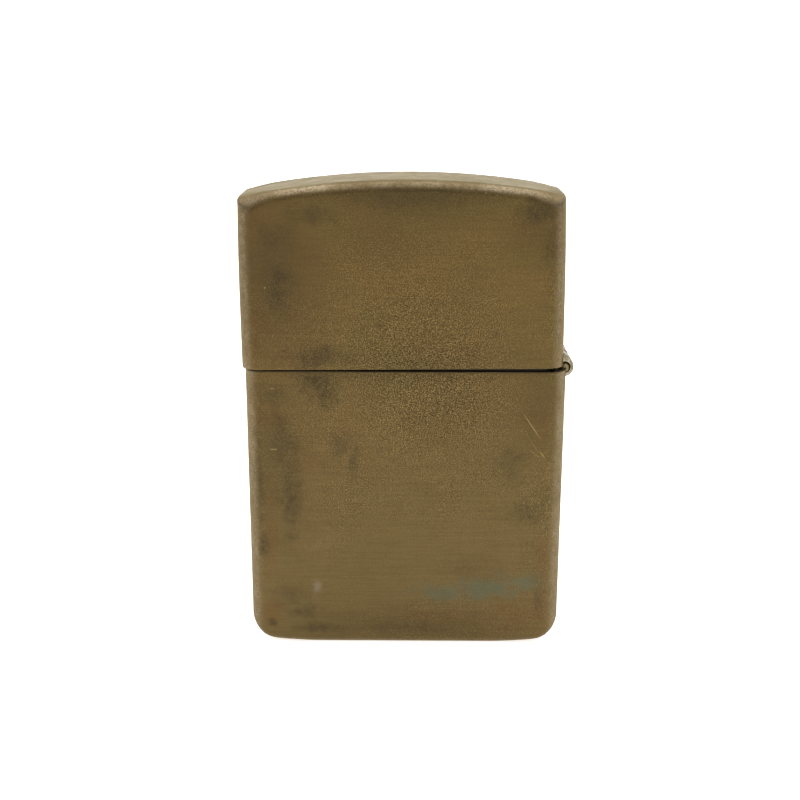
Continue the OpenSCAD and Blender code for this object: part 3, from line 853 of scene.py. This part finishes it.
def shell_rings(rim, up, **shape):
    """Rings from the middle of the closed end, down the outside, over the rim and up the inside."""
    outside = End(up=up, inset=0.0, **shape)
    inside = End(up=up, inset=SHEET, **shape)
    wall_rim = rim + up * RIM_R
    rings = [outside.cap(1 - i / END_STEPS) for i in range(END_STEPS)]
    rings += [outside.fillet(1 - i / END_STEPS) for i in range(END_STEPS)]
    rings += [outside.wall(wall_rim, 1 - i / WALL_STEPS) for i in range(WALL_STEPS)]
    turns = [math.pi / 2 * i / RIM_STEPS for i in range(RIM_STEPS + 1)]
    for a in turns:
        rings.append(rim_ring(rim + up * RIM_R * (1 - math.sin(a)), RIM_R * (1 - math.cos(a))))
    for a in reversed(turns):
        rings.append(rim_ring(rim + up * RIM_R * (1 - math.sin(a)), SHEET - RIM_R * (1 - math.cos(a))))
    rings += [inside.wall(wall_rim, i / INNER_WALL_STEPS) for i in range(1, INNER_WALL_STEPS)]
    rings += [inside.fillet(i / INNER_END_STEPS) for i in range(INNER_END_STEPS)]
    rings += [inside.cap(i / INNER_END_STEPS) for i in range(INNER_END_STEPS + 1)]
    return rings


def wear_surface(piece):
    """Gentle hollows and swells that handling leaves in sheet metal, along each point's normal, inwards
    only.
    """
    broad, close, most = 0.11, 0.31, 1.2
    elsewhere = Vector((7, 3, 1))
    mesh = piece.data
    normals = [v.normal.copy() for v in mesh.vertices]
    for vertex, normal in zip(mesh.vertices, normals):
        place = vertex.co / MM
        swell = noise.noise(place * broad) + 0.5 * noise.noise(place * close + elsewhere)
        vertex.co += normal * ((swell - most) * WEAR * MM)


def hinge_cutter(low_z, high_z):
    """Block with round corners that cuts the notch for the barrel in the right-hand wall."""
    play, inwards, outwards = 0.125, 1.3, 2.0
    half = BARREL / 2 + play
    outline = rounded_outline(-half, half, low_z, high_z, 0.35)
    return plate("cutter", [outline], HINGE.x - inwards, HINGE.x + outwards, bevel=0.01, axis="X")


def body_shell():
    rings = shell_rings(
        SEAM, up=-1, level=0.0, flat=10.0, arc_r=60.0, corner_r=3.4, edge_r=1.2, top_r=1.5, soft=0.0
    )
    points, faces = skin_between(rings)
    piece = mesh_object("body_shell", points, faces)
    wear_surface(piece)
    cut(piece, hinge_cutter(NOTCH_FOOT, SEAM + 1.0))
    smooth(piece, 40)
    settle(piece, "case", BRASS, "aged_brass", "case_body")


def lean_lid(piece):
    """Leans the lid about its lower left edge and shifts it, as the worn hinge lets it."""
    corner = Vector((-HALF_W, 0, SEAM + LID_GAP)) * MM
    turn = Matrix.Rotation(-LID_LEAN, 4, "Y")
    shift = Matrix.Translation(corner - Vector((LID_SHIFT * MM, 0, 0)))
    piece.data.transform(shift @ turn @ Matrix.Translation(-corner))


def draw_in(piece):
    """The lid's narrow walls draw in a little towards the top."""
    most, start, full = 0.17, SEAM + 4.0, CROWN - 3.0
    for vertex in piece.data.vertices:
        share = max(0.0, min(1.0, (vertex.co.z / MM - start) / (full - start)))
        vertex.co.x *= 1 - most * share**3 / HALF_W


def lid_shell():
    rim = SEAM + LID_GAP
    rings = shell_rings(
        rim, up=1, level=CROWN, flat=0.0, arc_r=102.0, corner_r=0.6, edge_r=1.4, top_r=3.0, soft=0.8
    )
    points, faces = skin_between(rings)
    piece = mesh_object("lid_cover", points, faces)
    draw_in(piece)
    wear_surface(piece)
    lean_lid(piece)
    cut(piece, hinge_cutter(SEAM - 1.0, HINGE.z + 1.7))
    smooth(piece, 40)
    settle(piece, "lid", BRASS, "aged_brass", "lid_shell")


# ---------- hinge ----------


def knuckle_span(index):
    low = -BARREL / 2 + index * (KNUCKLE_LEN + KNUCKLE_GAP)
    return low, low + KNUCKLE_LEN


def around_hinge(points):
    return [(HINGE.x + x, HINGE.z + z) for x, z in points]


def curl(index, outline, bore_r, bore_at=(0, 0)):
    """One knuckle: the outline of the curled leaf, with the loose bore that the pin runs in."""
    low, high = knuckle_span(index)
    hole = around_hinge(arc(bore_at, bore_r, 0, 350, 35))
    return plate("curl", [around_hinge(outline), hole], low, high, bevel=0.05)


def leaf_plate(low_z, high_z, r, weld_z):
    """Flat of a hinge leaf, against the inside of the wall, and its two weld marks."""
    inner = HALF_W - SHEET
    outline = rounded_outline(-LEAF_HALF, LEAF_HALF, low_z, high_z, r)
    flat = plate("leaf", [outline], inner - LEAF_T, inner, bevel=0.08, axis="X")
    return [flat] + [weld_mark(inner - LEAF_T, y, weld_z) for y in WELDS]


def lid_leaf():
    strap = [(0.92, 0.62), (0.74, 0.98), (0.45, 1.36), (0.10, 1.64), (-0.2, 1.84), (-0.99, 1.99)]
    strap += [(-0.99, 2.34), (-1.39, 2.34)]
    lug = arc((-0.08, 0.06), 1.1, -175, 20, 30) + strap + [(-1.39, 0.3)]
    heel = arc((0, 0), KNUCKLE_R, -112, 20, 22) + strap + [(-1.39, 1.0)]
    heel += arc((0, 0), 1.7, 179, 194, 3)
    loose, loose_r, middle_r = (-0.05, 0.1), 0.68, 0.62
    curls = [curl(0, lug, loose_r, loose), curl(2, heel, middle_r), curl(4, lug, loose_r, loose)]
    low_z = HINGE.z + 1.25
    high_z = low_z + LEAF_H
    flat = leaf_plate(low_z, high_z, 0.5, high_z - 2.2)
    for part in flat:
        lean_lid(part)
    piece = join("lid_knuckles", curls + flat)
    smooth(piece, 40)
    settle(piece, "lid", HINGE_METAL, "hinge_metal", "lid_hinge_leaf")


def weld_mark(x, y, z):
    """Low round dimple left by a spot weld, standing on a face that looks along -X."""
    sides = 24
    rings = []
    for radius, lift in ((0.62, -0.02), (0.58, 0.04), (0.36, 0.05), (0.28, 0.015), (0.02, 0.0)):
        ring = []
        for i in range(sides):
            a = 2 * math.pi * i / sides
            ring.append(Vector((x - lift, y + radius * math.cos(a), z + radius * math.sin(a))))
        rings.append(ring)
    points, faces = skin_between(rings, closed_ends=True)
    return mesh_object("mark", points, faces)


def case_leaf():
    left = HALF_W - SHEET - LEAF_T - HINGE.x
    lug = arc((0, 0), KNUCKLE_R, -100, 190, 32)
    lug += [(left, -0.6), (left, -2.2), (left + LEAF_T, -2.2), (left + LEAF_T, -1.35), (-0.4, -1.12)]
    bore_r = 0.56
    curls = [curl(i, lug, bore_r) for i in (1, 3)]
    flat = leaf_plate(NOTCH_FOOT - LEAF_H, NOTCH_FOOT, 0.3, NOTCH_FOOT - 4.2)
    piece = join("case_knuckles", curls + flat)
    smooth(piece, 40)
    settle(piece, "case", HINGE_METAL, "hinge_metal", "case_hinge_leaf")


def hinge_pin():
    """Pin with slightly domed, dimpled ends."""
    r, half = 0.52, BARREL / 2
    end = [(0.001, 0.05), (0.10, 0.045), (0.20, 0.0), (0.36, 0.0), (0.47, 0.04), (r, 0.12)]
    profile = [(a, -half + b) for a, b in end] + [(a, half - b) for a, b in reversed(end)]
    centre = Vector((HINGE.x, 0, HINGE.z))
    rings = [axle_ring(centre, y, [radius] * 40) for radius, y in profile]
    points, faces = skin_between(rings, closed_ends=True)
    piece = mesh_object("pin", points, faces)
    smooth(piece, 40)
    settle(piece, "case", PIN_METAL, "hinge_metal", "hinge_pin")


# ---------- striker ----------


def striker_wheel():
    """Wheel with chisel teeth, cut across by two sets of slanting grooves."""
    low, high = mm_box("striker_wheel")
    outer = (high.x - low.x) / 2
    half = (high.y - low.y) / 2
    teeth, per_tooth, rows = 40, 6, 36
    tooth_depth, tooth_front = 0.34, 0.18
    grooves, groove_run, groove_half, groove_depth = 20, 1.15, 0.16, 0.2
    chamfer = 0.25
    bore = 1.0
    count = teeth * per_tooth

    def surface(i, y):
        phase = i / per_tooth % 1.0
        if phase > tooth_front:
            tooth = tooth_depth * (1 - phase)
        else:
            tooth = tooth_depth * phase / tooth_front * 0.8
        turn = i / count * grooves
        slants = [abs((turn + side * y / groove_run) % 1.0 - 0.5) for side in (1, -1)]
        groove = max(0.0, groove_half - min(slants)) / groove_half * groove_depth
        rim = max(0.0, abs(y) - (half - chamfer)) * 0.9
        return outer - tooth - groove - rim

    hub = [(bore, -half + 0.1), (bore + 0.1, -half), (2.1, -half), (2.3, -half + 0.12)]
    rings = [axle_ring(WHEEL, y, [radius] * count) for radius, y in hub]
    for k in range(rows + 1):
        y = -half + 2 * half * k / rows
        rings.append(axle_ring(WHEEL, y, [surface(i, y) for i in range(count)]))
    rings += [axle_ring(WHEEL, -y, [radius] * count) for radius, y in reversed(hub)]
    rings.append(rings[0])
    points, faces = skin_between(rings)
    piece = mesh_object("toothed_wheel", points, faces)
    smooth(piece, 28)
    settle(piece, "wheel", WHEEL_STEEL, "wheel_steel", "striker_wheel")


# ---------- springs ----------


def settle_spring(piece, node):
    """Gives a spring its material, bakes its place into its mesh and hides its CAD node."""
    dress(piece, SPRING_STEEL)
    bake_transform(piece)
    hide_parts(node)


def flint_spring():
    low, high = mm_box("flint_spring")
    wire, coil_r = 0.2, 1.05
    foot, head = low.z + wire, high.z - wire
    centre = (low + high) / 2
    turns, steps = 16, 28
    path = []
    for i in range(turns * steps + 1):
        a = 2 * math.pi * i / steps
        z = foot + (head - foot) * i / (turns * steps)
        path.append(Vector((centre.x + coil_r * math.cos(a), coil_r * math.sin(a), z)))
    piece = tube("coil_spring", path, wire, sides=8)
    smooth(piece, 60)
    settle_spring(piece, "flint_spring")


def leaf_spring():
    """Strip that runs up the bracket and leans over to the cam."""
    low, high = mm_box("cam_spring")
    thick, bend_z, bend_h, bend_r, lean = 0.3, 34.2, 2.2, 2.0, 45
    middle = low.x + thick / 2
    line = [(middle, low.z), (middle, bend_z)]
    line += arc((middle + bend_r, bend_z), bend_r, 180, 180 - lean, 3)[1:]
    tip = [(13.62, 36.6), (13.68, 36.9), (13.5, 37.4)]
    line += tip
    path = finely(line, 0.25)
    sides = ([], [])
    for i, point in enumerate(path):
        along = (path[min(i + 1, len(path) - 1)] - path[max(i - 1, 0)]).normalized()
        across = Vector((-along.z, 0, along.x)) * (thick / 2)
        sides[0].append((point.x + across.x, point.z + across.z))
        sides[1].append((point.x - across.x, point.z - across.z))
    piece = plate("cam_leaf", [sides[0] + sides[1][::-1]], low.y, high.y)
    smooth(piece, 40)
    settle_spring(piece, "cam_spring")


# ---------- wick ----------


def wick_path():
    """Centre line of the wick, from its trimmed end down and back and forth through the wadding."""
    low, high = mm_box("wick")
    wick_x, turn_r, fold_r = 3.2, 3.0, 2.75
    fold_top, fold_right, fold_left, end = 27.0, 12.0, -5.4, -2.0
    corners = [(wick_x, high.z), (wick_x, fold_top + turn_r)]
    corners += arc((wick_x + turn_r, fold_top + turn_r), turn_r, 180, 270, 12)[1:]
    corners += arc((fold_right, fold_top - fold_r), fold_r, 90, -90, 20)
    corners += arc((fold_left, fold_top - 3 * fold_r), fold_r, 90, 270, 20)
    corners += arc((fold_right, fold_top - 5 * fold_r), fold_r, 90, -90, 20)
    corners += [(end, fold_top - 6 * fold_r)]
    return finely(corners, 0.22)


def wick():
    """Round braid: two sets of strands cross over and under each other."""
    radius, strands, pitch, relief = 1.5, 4, 2.4, 0.13

    def braid(angle, run):
        one = math.sin(strands * angle + run * pitch)
        two = math.sin(strands * angle - run * pitch)
        # The trimmed end is uneven.
        frayed = 0.10 * max(0.0, 0.6 - run) * math.sin(9 * angle + 1.0)
        return radius - relief + relief * max(one, two) + frayed

    piece = tube("braided_wick", wick_path(), radius, sides=40, shape=braid)
    smooth(piece, 60)
    settle(piece, "case", WICK, "wick_cord", "wick")


# ---------- wadding and felt ----------


def soft_copy(node, name, voxel, depth, scale):
    """Softened copy of a CAD node: remeshed, then its surface broken up by noise, inwards only."""
    mesh = frame["nodes"][node].data.copy()
    mesh.name = name
    piece = make_object(name, mesh)
    change = piece.modifiers.new("remesh", "REMESH")
    change.mode = "VOXEL"
    change.voxel_size = voxel * MM
    change.use_smooth_shade = True
    relax = piece.modifiers.new("relax", "SMOOTH")
    relax.factor = 0.5
    relax.iterations = 3
    apply_modifiers(piece)
    normals = [v.normal.copy() for v in piece.data.vertices]
    for vertex, normal in zip(piece.data.vertices, normals):
        lump = noise.fractal(vertex.co / MM * scale, 1.0, 2.0, 3)
        vertex.co += normal * (-depth * MM * (0.5 + 0.5 * max(-1.0, min(1.0, lump))))
    smooth(piece, 80)
    return piece


def wadding():
    piece = soft_copy("cotton_wads", "cotton_wadding", 0.45, 0.22, 0.8)
    settle(piece, "case", COTTON, "cotton", "cotton_wads")


def felt():
    piece = soft_copy("felt_pad", "felt_flap", 0.3, 0.08, 1.2)
    settle(piece, "case", FELT, "felt", "felt_pad")


# ---------- CAD nodes that show as they are ----------

SHOWN = {
    "insert_body": INSERT_STEEL,
    "insert_deck": INSERT_STEEL,
    "windscreen": SCREEN_STEEL,
    "wheel_rivet": RIVET_STEEL,
    "flint_tube": CLEAN_BRASS,
    "flint": FLINT,
    "spring_tip": CLEAN_BRASS,
    "flint_screw": CLEAN_BRASS,
    "cam_bracket": INSERT_STEEL,
    "lid_cam": CAM_STEEL,
    "cam_rivet": RIVET_STEEL,
    "spring_rivet": RIVET_STEEL,
}


def dress_cad_nodes():
    for node, material in SHOWN.items():
        dress(frame["nodes"][node], material)


# ---------- stage, light and camera ----------


def studio():
    """Pale sweep: a wide floor that curves up into a wall."""
    half, front, back, bend, top, steps = 6.0, -9.0, 0.9, 0.5, 3.0, 12
    profile = [(front, 0.0), (back, 0.0)]
    for i in range(1, steps + 1):
        a = math.pi / 2 * i / steps
        profile.append((back + bend * math.sin(a), bend * (1 - math.cos(a))))
    profile.append((back + bend, top))
    points = [(x, y, z) for y, z in profile for x in (-half, half)]
    faces = [(2 * i, 2 * i + 1, 2 * i + 3, 2 * i + 2) for i in range(len(profile) - 1)]
    mesh = bpy.data.meshes.new("sweep")
    mesh.from_pydata(points, [], faces)
    mesh.shade_smooth()
    sweep = make_object("sweep", mesh)
    paper = bpy.data.materials.new("paper")
    paper.use_nodes = True
    surface = paper.node_tree.nodes["Principled BSDF"]
    surface.inputs["Base Color"].default_value = tone(244, 244, 243)
    surface.inputs["Roughness"].default_value = 0.9
    surface.inputs["Emission Color"].default_value = (1.0, 1.0, 1.0, 1.0)
    surface.inputs["Emission Strength"].default_value = 0.75
    dress(sweep, paper)


def area_light(name, place, target, size, power):
    lamp = bpy.data.lights.new(name, "AREA")
    lamp.shape = "RECTANGLE"
    lamp.size, lamp.size_y = size
    lamp.energy = power
    light = bpy.data.objects.new(name, lamp)
    bpy.context.scene.collection.objects.link(light)
    light.location = place
    light.rotation_euler = (Vector(target) - Vector(place)).to_track_quat("-Z", "Y").to_euler()


def lights():
    world = bpy.data.worlds.new("studio_air")
    world.use_nodes = True
    tree = world.node_tree
    air = tree.nodes["Background"]
    air.inputs["Color"].default_value = (1.0, 1.0, 1.0, 1.0)
    coordinates = tree.nodes.new("ShaderNodeTexCoord")
    parts = tree.nodes.new("ShaderNodeSeparateXYZ")
    fade = tree.nodes.new("ShaderNodeMapRange")
    # Bright round the horizon and dimmer above it.
    for name, value in (("From Min", 0.10), ("From Max", 0.35), ("To Min", 1.0), ("To Max", 0.34)):
        fade.inputs[name].default_value = value
    tree.links.new(coordinates.outputs["Generated"], parts.inputs[0])
    tree.links.new(parts.outputs["Z"], fade.inputs["Value"])
    tree.links.new(fade.outputs["Result"], air.inputs["Strength"])
    bpy.context.scene.world = world
    area_light("overhead", place=(0.0, -0.1, 0.7), target=(0, 0, 0.03), size=(1.4, 1.0), power=8.0)
    area_light("back_wall", place=(0.0, 0.2, 0.9), target=(0, 0.9, 0.3), size=(1.6, 0.6), power=6.0)


def camera():
    """Looks down a little at the front panel, as the photograph does."""
    data = bpy.data.cameras.new("camera")
    data.lens = 56.14
    data.sensor_width = 36.0
    data.clip_start = 0.01
    eye = bpy.data.objects.new("camera", data)
    bpy.context.scene.collection.objects.link(eye)
    place = Vector((0.478, -147.965, 71.145)) * MM
    pitch, turn, roll = math.radians(15.61), math.radians(0.448), math.radians(0.11)
    rotation = (
        Matrix.Rotation(turn, 4, "Z")
        @ Matrix.Rotation(math.pi / 2 - pitch, 4, "X")
        @ Matrix.Rotation(roll, 4, "Z")
    )
    eye.matrix_world = Matrix.Translation(place) @ rotation
    bpy.context.scene.camera = eye


camera()
lights()
studio()
dress_cad_nodes()
body_shell()
lid_shell()
lid_leaf()
case_leaf()
hinge_pin()
striker_wheel()
flint_spring()
leaf_spring()
wick()
wadding()
felt()

bpy.context.scene.view_settings.view_transform = "Standard"
